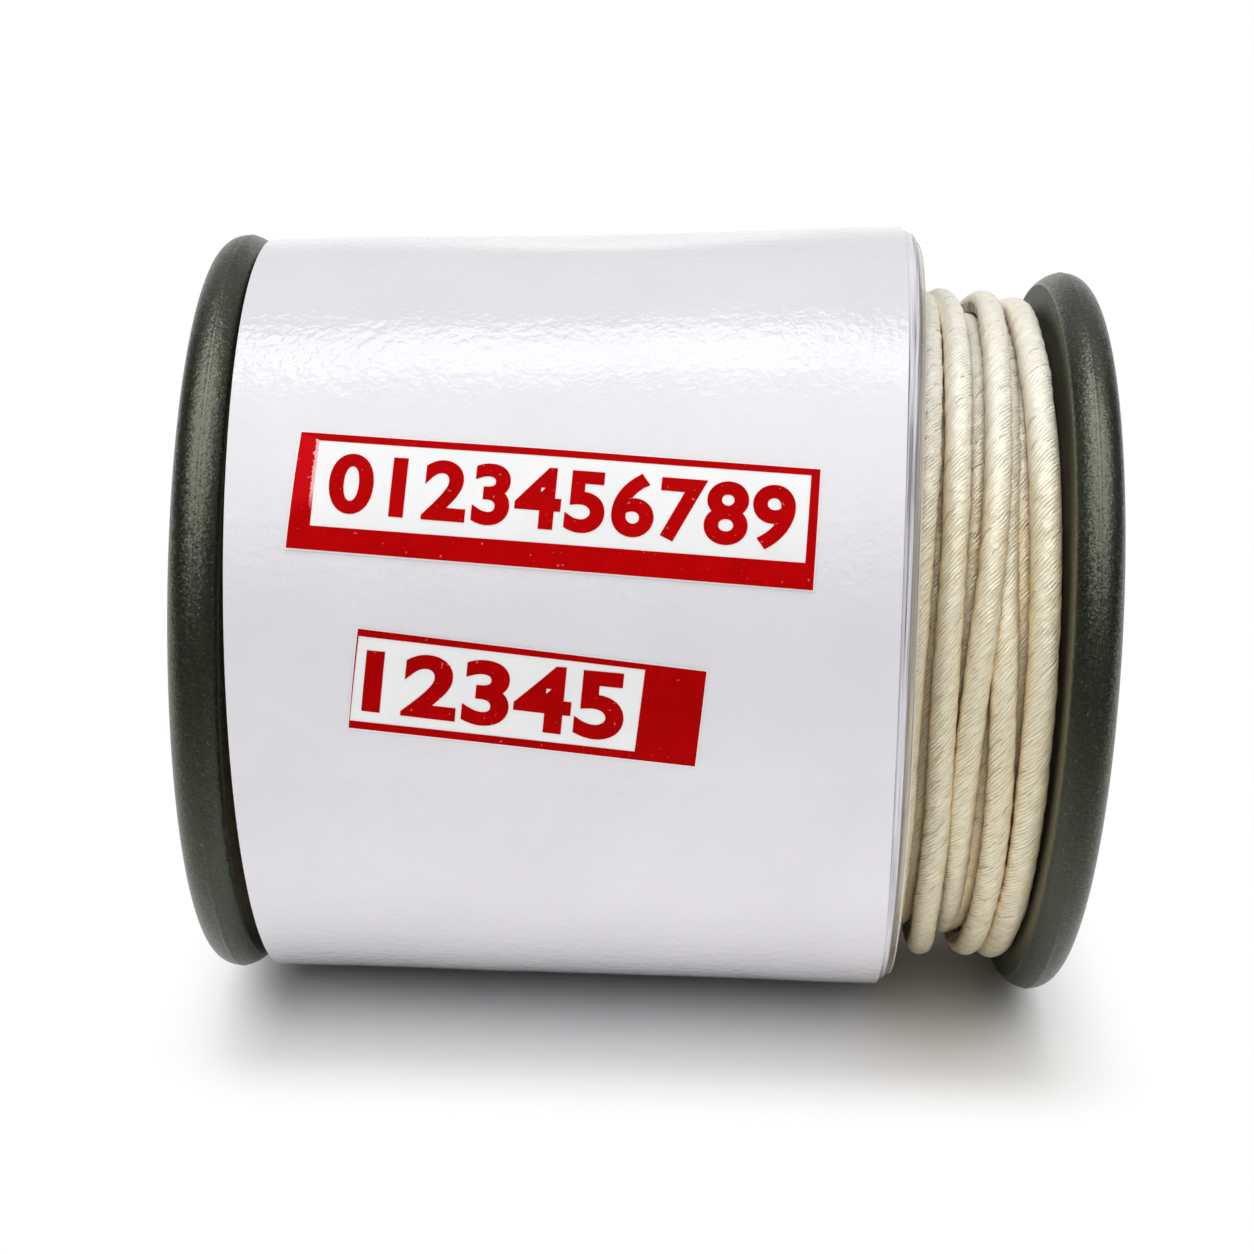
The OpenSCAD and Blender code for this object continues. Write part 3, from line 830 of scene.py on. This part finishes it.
def first_end(name, radius, wall_r, length, material, ragged=0.0):
    """Part of the wire's first end: out of its hole, round a bend and along the recess of
    the left flange. Its middle line is a straight, a quarter circle and a straight. A lap
    of cotton ends a little raggedly."""
    hole = np.stack([np.zeros(12), np.linspace(-0.4, TAIL_Z - BEND_R, 12)], -1)
    a = np.radians(np.linspace(0, 90, 16))[1:]
    bend = np.stack([BEND_R * (1 - np.cos(a)), TAIL_Z - BEND_R + BEND_R * np.sin(a)], -1)
    run = np.linspace(BEND_R, length, 60)[1:]
    lie = np.stack([run, TAIL_Z + 0.02 * np.sin(run * 1.7)], -1)
    line = np.concatenate([hole, bend, lie])
    radial = np.array([0, math.sin(START_ANGLE), -math.cos(START_ANGLE)])
    across = np.array([0, math.cos(START_ANGLE), math.sin(START_ANGLE)])
    seat = np.array([-HALF_W, 0, FLANGE_R]) + START_R * radial
    centres = seat + line[:, :1] * across + line[:, 1:] * np.array([-1.0, 0, 0])
    ahead = heading(centres)
    side = np.cross(ahead, radial)
    ring = rings_round(radial, side[:, None, :], -np.pi / 2, TAIL_SIDES)
    run = run_along(centres)
    share = ribbon_share(run, TAIL_SIDES)
    relief = 0.6 * RIBBON_RELIEF * (0.5 - share) if ragged else 0 * share
    b = np.linspace(-np.pi / 2, 1.5 * np.pi, TAIL_SIDES, endpoint=False)
    fray = ragged * np.sin(5 * b)[:, None] * ahead[-1]
    outer = centres[:, None, :] + ring * (radius + relief)[:, :, None]
    outer[-1] += fray
    uv = uv_grid(run, TAIL_SIDES)
    if wall_r is None:
        shell = grid_shell(outer, wrap_columns=True, uv=uv)
        close_ends(shell, TAIL_SIDES, centres)
    else:
        inner = centres[:, None, :] + ring * wall_r
        inner[-1] += fray
        shell = sheet_shell(outer, inner, uv, wrap_columns=True)
    return make_piece(name, [shell], material, sharp=50)


# ---------------- wrap

def wrap_points(phi, z, r):
    """Places in the spool's frame of points on the wrap: phi in degrees above the front,
    z along the wrap's axis from its tight end, r the distance from that axis."""
    a = np.radians(phi)
    across, up = -r * np.cos(a), r * np.sin(a)
    cos, sin = math.cos(WRAP_TILT), math.sin(WRAP_TILT)
    return np.stack([WRAP_X + z * cos - up * sin, across, FLANGE_R + z * sin + up * cos], -1)


def wrap_sheet(phi, z, inner, thick, uv=None):
    """Closed sheet on the wrap, that thick, whose inner face is at the radii inner."""
    return sheet_shell(wrap_points(phi, z, inner + thick), wrap_points(phi, z, inner), uv)


def paper_surface(phi, z):
    """Radius of the paper's outer face: the cone, a shallow flat along the top that is
    deepest in the middle, and slight waves from handling."""
    off = (phi - FLAT_PHI + 180) % 360 - 180
    flat = np.cos(np.clip(off / FLAT_HALF, -1, 1) * np.pi / 2) ** 2
    reach = np.sin(np.pi * np.clip((z - FLAT_START) / FLAT_L, 0, 1)) ** 2
    a = np.radians(phi)
    waves = (0.012 * np.sin(3 * a + 0.5 * z) + 0.010 * np.sin(5 * a - 0.31 * z + 1.0)
             + 0.006 * np.sin(0.9 * z + 2 * a) * np.sin(7 * a))
    return PAPER_R + WRAP_GROW * z - FLAT_DEPTH * flat * reach + waves


def loose_edge(phi):
    """Place of the paper's edge at the loose end: skew, and bent out along the top."""
    a = np.radians(phi)
    return (23.12 + 0.253 * np.sin(a) - 0.235 * np.cos(a)
            - 0.121 * np.sin(2 * a) - 0.209 * np.cos(2 * a))


def tight_edge(phi):
    """Place of the paper's edge at the tight end."""
    a = np.radians(phi)
    return -0.03 + 0.11 * np.sin(a) - 0.05 * np.cos(a)


def paper_sleeve(material):
    """Sleeve as one sheet closed round the wrap: it starts under its own lap at the back
    and ends on top of it."""
    lap = math.degrees(SEAM_LAP / PAPER_R)
    u = np.linspace(0, 360 + lap, 300)
    s = np.linspace(0, 1, 90)[:, None]
    phi = SEAM_PHI + lap - u
    z = tight_edge(phi) * (1 - s) + loose_edge(phi) * s
    phi = np.broadcast_to(phi, z.shape)
    outer = paper_surface(phi, z) + LAP_RISE * ease((u - 352) / 8)
    uv = np.stack([np.radians(u)[None, :] * PAPER_R + 0 * z, z], -1)
    shell = sheet_shell(wrap_points(phi, z, outer), wrap_points(phi, z, outer - PAPER_T), uv)
    return make_piece("paper_sleeve_sheet", [shell], material, sharp=50)


def seam_tape(material):
    """Tape over the paper's free edge at the back: on the lap, down the step and on the
    paper below."""
    half = math.degrees(TAPE_W / 2 / PAPER_R)
    offset = np.linspace(-half, half, 50)
    s = np.linspace(0, 1, 60)[:, None]
    z = TAPE_SPAN[0] + s * (TAPE_SPAN[1] - TAPE_SPAN[0]) + 0 * offset
    phi = np.broadcast_to(SEAM_PHI + offset, z.shape)
    base = paper_surface(phi, z) + LAP_RISE * ease(offset / 0.25 + 1.0) + TAPE_LIFT
    return make_piece("seam_tape_strip", [wrap_sheet(phi, z, base, TAPE_T)], material, sharp=50)


def film_wrap(material):
    """Film wound twice as one sheet: the inner turn reaches further out at the loose end
    than the outer one, both are drawn in towards their loose edge, most of all over the
    top, and fine folds run round them. Its rows stand at distances from the loose edge,
    close together within 2.2 mm of it and stretched to the film's width beyond."""
    rng = np.random.default_rng(SEED + 1)
    u = np.linspace(0, FILM_DEG, 320)
    phi = FILM_PHI - u
    turn = u / FILM_DEG
    second = ease((u - 350) / 20)
    top = 0.5 + 0.5 * np.sin(np.radians(phi))
    end = (loose_edge(phi) + FILM_REACH + 0.2 * top - FILM_STEP * second
           + 0.03 * smooth_noise(u, 60, rng))
    back = np.concatenate([np.linspace(21, 2.4, 14), np.linspace(2.2, 0, 46)])[::-1, None]
    width = end - FILM_START
    e = np.minimum(back * np.where(back < 2.3, 1.0, width / 21.0), width)
    z = end - e
    phi = np.broadcast_to(phi, z.shape)
    a = np.radians(phi)
    lift = 0.24 * ease((z - 22.0) / 0.9)
    draw = (0.16 + 0.34 * top) * (1 - 0.65 * second) * np.clip(1 - e / 0.6, 0, 1) ** 2
    folds = 0.016 * np.sin(2 * np.pi * e / 0.17 + 2.5 * np.sin(a + turn * 5)) * np.exp(-e / 0.8)
    crumple = 0.012 * np.sin(3 * a + z + 4 * turn) * np.sin(5 * a - 0.7 * z)
    r = (FILM_R + 0.012 + WRAP_GROW * z + 0.075 * ease((u - 340) / 30) + lift - draw
         + folds + crumple * 0.6)
    uv = np.stack([np.broadcast_to(np.radians(u) * FILM_R, z.shape), e], -1)
    return make_piece("film_wrap_sheet", [wrap_sheet(phi, z, r, FILM_T, uv)], material, sharp=60)


# ---------------- labels

def on_sleeve(flat, lift):
    """Places on the sleeve from (distance along it, arc above the front), in millimetres,
    lifted off the paper."""
    z, arc = flat[..., 0], flat[..., 1]
    phi = np.degrees(arc / (PAPER_R + WRAP_GROW * z))
    return wrap_points(phi, z, paper_surface(phi, z) + lift)


def between(corners, s, t):
    """Bilinear mix of four corners: s goes from left to right and t from top to bottom."""
    tl, tr, br, bl = np.array(corners)
    s, t = s[..., None], t[..., None]
    return (tl * (1 - s) + tr * s) * (1 - t) + (bl * (1 - s) + br * s) * t


def label_slip(name, corners, material):
    """Paper slip that lies on the sleeve between four corners, a little over their edge."""
    spread = np.array(corners) + LABEL_MARGIN * np.array([(-1, 1), (1, 1), (1, -1), (-1, -1)])
    flat = between(spread, *np.meshgrid(np.linspace(0, 1, 90), np.linspace(0, 1, 24)))
    shell = sheet_shell(on_sleeve(flat, LABEL_LIFT + LABEL_T), on_sleeve(flat, LABEL_LIFT))
    return make_piece(name, [shell], material, sharp=50)


def frame_print(name, edge, window, material):
    """Printed frame between an outer and an inner outline of four corners: both outlines
    are walked with the same steps, and the rows run from one to the other."""
    def walk(corners):
        sides = []
        for start, stop, steps in zip(corners, corners[1:] + corners[:1], (70, 18, 70, 18)):
            share = np.linspace(0, 1, steps, endpoint=False)[:, None]
            sides.append(np.array(start) * (1 - share) + np.array(stop) * share)
        return np.concatenate(sides)

    outline = walk(edge)
    across = np.linspace(0, 1, 7)
    share = across[:, None, None]
    flat = outline * (1 - share) + walk(window) * share
    uv = np.stack(np.meshgrid(run_along(np.vstack([outline, outline[:1]])), across), -1)
    shell = sheet_shell(on_sleeve(flat, PRINT_LIFT + PRINT_T), on_sleeve(flat, PRINT_LIFT), uv,
                        wrap_columns=True)
    return make_piece(name, [shell], material, sharp=50)


def digit_print(name, text, corners, gap, material):
    """Row of plain digits that fills four corners: the flat figures are sliced into thin
    strips across their height, so that they follow the sleeve, and then laid on it."""
    font = bpy.data.curves.new(name, "FONT")
    font.body = text
    font.size = 1.0
    font.offset = DIGIT_BOLD
    font.space_character = gap
    font.resolution_u = 8
    holder = add_object(name + "_flat", font)
    bpy.context.view_layer.update()
    view = bpy.context.evaluated_depsgraph_get()
    mesh = bpy.data.meshes.new_from_object(holder.evaluated_get(view))
    bpy.data.objects.remove(holder)
    work = bmesh.new()
    work.from_mesh(mesh)
    bmesh.ops.remove_doubles(work, verts=work.verts, dist=1e-5)
    heights = [v.co.y for v in work.verts]
    for level in np.linspace(min(heights), max(heights), 25)[1:-1]:
        bmesh.ops.bisect_plane(
            work, geom=work.verts[:] + work.edges[:] + work.faces[:],
            plane_co=(0, level, 0), plane_no=(0, 1, 0))
    work.to_mesh(mesh)
    work.free()
    flat = np.zeros(len(mesh.vertices) * 3, np.float32)
    mesh.vertices.foreach_get("co", flat)
    flat = flat.reshape(-1, 3).astype(float)
    low, high = flat.min(0), flat.max(0)
    s = (flat[:, 0] - low[0]) / (high[0] - low[0])
    t = (high[1] - flat[:, 1]) / (high[1] - low[1])
    points = on_sleeve(between(corners, s, t), PRINT_LIFT + PRINT_T / 2) * MM
    mesh.vertices.foreach_set("co", points.astype(np.float32).ravel())
    mesh.polygons.foreach_set("use_smooth", np.zeros(len(mesh.polygons), bool))
    mesh.update()
    mesh.materials.clear()
    mesh.materials.append(material)
    piece = add_object(name, mesh)
    wall = piece.modifiers.new("ink", "SOLIDIFY")
    wall.thickness = PRINT_T * MM
    wall.offset = 0
    return piece


# ---------------- assembly

plastic = make_material("graphite-filled polystyrene", moulded_polystyrene)
tube_plastic = make_material("extruded polystyrene", extruded_polystyrene)
cotton = make_material("cotton lapping", cotton_lapping,
                       "#f8f0d6", "#e6d8b0", "#c7ae74", "#cb9c48")
# A darker copy of the cotton for the layer below: painted shade.
shaded_cotton = make_material("painted_shade cotton lapping", cotton_lapping,
                              "#f6e6ba", "#e9d29a", "#caa866", "#b8924e")
inner_cotton = make_material("inner cotton lapping", cotton_lapping,
                             "#ece2c0", "#d6c795", "#a8925c", "#a8925c", -1)
copper = make_material("drawn copper", drawn_copper)
film = make_material("clear film", clear_film)
paper = make_material("glossy paper", glossy_paper)
tape = make_material("clear tape", clear_tape)
slip_paper = make_material("label paper", label_paper)
ink = make_material("red ink", red_ink, "#b00003", "#9f0001")
worn_ink = make_material("worn red ink", red_ink, "#be0204", "#ae0003", True)

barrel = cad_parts["barrel"].data
barrel.materials.clear()
barrel.materials.append(tube_plastic)
for end, side in (("left_flange", -1), ("right_flange", 1)):
    settle(make_flange(end + "_moulding", side, plastic), "spool", "flange_plastic", end)
settle(outer_winding(cotton), "spool", "wound_cotton", "outer_turns")
settle(lower_winding(shaded_cotton), "spool", "wound_cotton", "inner_layers")
settle(first_end("start_conductor_wire", CONDUCTOR_R, None, TAIL_L, copper),
       "spool", "copper", "start_conductor")
settle(first_end("start_inner_lap", CONDUCTOR_R + LAP_T, CONDUCTOR_R + LAP_GAP,
                 TAIL_L - BARED_L, inner_cotton, FRAY),
       "spool", "inner_cotton", "start_inner_cotton")
settle(first_end("start_outer_lap", CONDUCTOR_R + 2 * LAP_T, CONDUCTOR_R + LAP_T + LAP_GAP,
                 TAIL_L - BARED_L - INNER_LAP_L, cotton, FRAY),
       "spool", "outer_cotton", "start_outer_cotton")
settle(film_wrap(film), "film", "clear_film", "film_wrap")
settle(paper_sleeve(paper), "sleeve", "sleeve_paper", "paper_sleeve")
settle(seam_tape(tape), "sleeve", "clear_tape", "seam_tape")
for label, edge in (("upper", UPPER_EDGE), ("lower", LOWER_EDGE)):
    settle(label_slip(label + "_label_slip", edge, slip_paper),
           "sleeve", "label_paper", label + "_label")
for label, edge, window, red in (("upper", UPPER_EDGE, UPPER_WINDOW, worn_ink),
                                 ("lower", LOWER_EDGE, LOWER_WINDOW, ink)):
    settle(frame_print(label + "_label_frame", edge, window, red),
           "sleeve", "red_ink", label + "_print")
settle(digit_print("upper_label_digits", "0123456789", UPPER_DIGITS, 1.08, worn_ink),
       "sleeve", "red_ink")
settle(digit_print("lower_label_digits", "12345", LOWER_DIGITS, 1.05, ink), "sleeve", "red_ink")


# ---------------- floor, light, camera

def make_floor():
    """Plain white floor. Close to the object it shows as it is lit, with the object's
    shadow, and further off as plain white, to the camera and in a reflection. A
    reflection also shows it fall off into the dim room on the camera's side."""
    half = FLOOR_HALF
    mesh = bpy.data.meshes.new("floor")
    mesh.from_pydata([(-half, -half, 0), (half, -half, 0), (half, half, 0), (-half, half, 0)],
                     [], [(0, 1, 2, 3)])
    mesh.update()
    material = bpy.data.materials.new("white card")
    add = empty_tree(material)
    place = add("TexCoord", out="Object")
    rays = add("LightPath", out=None)
    # Distance past the lit part: the length of what reaches beyond its half size.
    past = add("VectorMath.SUBTRACT", [place, SHADE_MIDDLE])
    past = add("VectorMath.ABSOLUTE", [past])
    past = add("VectorMath.SUBTRACT", [past, SHADE_HALF])
    past = add("VectorMath.MAXIMUM", [past, (0, 0, 0)])
    past = add("VectorMath.LENGTH", [past], 1)
    away = add("MapRange", [past, 0.0, SHADE_FADE], **SOFT)
    plainly = add("Math.ADD", [rays["Is Camera Ray"], rays["Is Glossy Ray"]])
    plainly = add("Math.ADD", [plainly, rays["Is Transmission Ray"]], use_clamp=True)
    seen = add("Math.MULTIPLY", [away, plainly])
    card = coats_of(add, "#f0f0f0", (rays["Is Camera Ray"], "#ffffff"))
    # Further off, the floor glows for diffuse rays: painted light from a part that is no lamp,
    # which lights the object from below.
    glow = add("Math.MULTIPLY", [away, FLOOR_GLOW])
    glow = add("Math.MULTIPLY", [glow, rays["Is Diffuse Ray"]])
    lit = add("AddShader", [add("BsdfDiffuse", [card]), add("Emission", {"Strength": glow})])
    ahead = add("SeparateXYZ", [place], 1)
    dim = add("MapRange", [ahead, 0.006, -0.046, 1.0, 0.24], **SOFT)
    white = add("MapRange", [rays["Is Camera Ray"], 0.0, 1.0, dim, 1.0])
    plain = add("Emission", {"Strength": white})
    add("OutputMaterial", [add("MixShader", [seen, lit, plain])], None)
    mesh.materials.append(material)
    add_object("floor", mesh)


def make_world():
    """White studio. Over and in front of the object is a soft ceiling light that fades
    towards the floor, and behind it stands the white backdrop. A mirrored ray also sees
    how dim the room is on the camera's side, and the black flags that stand left and
    right. The camera sees plain white all round."""
    world = bpy.data.worlds.new("surroundings")
    bpy.context.scene.world = world
    add = empty_tree(world)
    rays = add("LightPath", out=None)
    mirrored = add("Math.ADD", [rays["Is Glossy Ray"], rays["Is Transmission Ray"]])
    x, y, z = add("SeparateXYZ", [add("TexCoord", out="Generated")], None)
    room = add("MapRange", [mirrored, 0.0, 1.0, ROOM_LIGHT, ROOM_MIRRORED])
    ceiling = add("MapRange", [mirrored, 0.0, 1.0, CEILING_LIGHT, CEILING_MIRRORED])
    front = add("MapRange", [z, 0.25, 0.9, room, ceiling], **SOFT)
    white = add("MapRange", [z, 0.1, 0.45, 1.0, 0.35])
    backdrop = add("MapRange", [mirrored, 0.0, 1.0, BACKDROP_LIGHT, white])
    level = add("MapRange", [y, -0.1, 0.3, front, backdrop], **SOFT)
    sideways = add("Math.ABSOLUTE", [x])
    flag = add("MapRange", [sideways, 0.45, 0.7, 0.0, FLAG_DEPTH], **SOFT)
    flag = add("Math.MULTIPLY", [flag, mirrored])
    taken = add("Math.MULTIPLY", [flag, -1.0])
    level = add("Math.MULTIPLY_ADD", [level, taken, level])
    level = add("MapRange", [rays["Is Camera Ray"], 0.0, 1.0, level, 1.0])
    add("OutputWorld", [add("Background", ["#ffffff", level])], None)


def stand(name, data, right, up, back, place):
    """Lamp or camera in the scene, from its own axes and its place."""
    add_object(name, data).matrix_world = Matrix([*zip(right, up, back, place), (0, 0, 0, 1)])


def make_softbox(name, place, size, radiance):
    """Rectangular softbox turned to face the spool's middle. Its power is the radiance
    times pi times its area."""
    light = bpy.data.lights.new(name, "AREA")
    light.shape = "RECTANGLE"
    light.size, light.size_y = size
    light.energy = radiance * math.pi * size[0] * size[1]
    away = np.array(place) - [0, 0, FLANGE_R * MM]
    away = away / np.linalg.norm(away)
    side = np.array([1.0, 0, 0])
    stand(name, light, side, np.cross(away, side), away, place)


def make_camera():
    """Camera a little above the spool, slightly turned and rolled, whose frame is shifted
    off its middle."""
    camera = bpy.data.cameras.new("camera")
    camera.sensor_width = 36
    camera.lens = 72.411
    camera.shift_x = -0.12168
    camera.shift_y = 0.23551
    camera.clip_start = 0.005
    camera.clip_end = 20
    stand("camera", camera, right=(0.99777, -0.0414, 0.0523544),
          up=(-0.030925, 0.4083698, 0.9122926), back=(-0.0591488, -0.9118773, 0.4061788),
          place=(-0.0003738785, -0.095531257, 0.043771772))
    bpy.context.scene.camera = bpy.data.objects["camera"]


make_floor()
make_world()
make_softbox("overhead strip", (-0.040, 0.042, 0.314), (0.115, 0.10), 3.9)
make_softbox("strip end", (0.048, 0.000, 0.314), (0.06, 0.10), 2.4)
make_camera()
bpy.context.scene.view_settings.view_transform = "Standard"
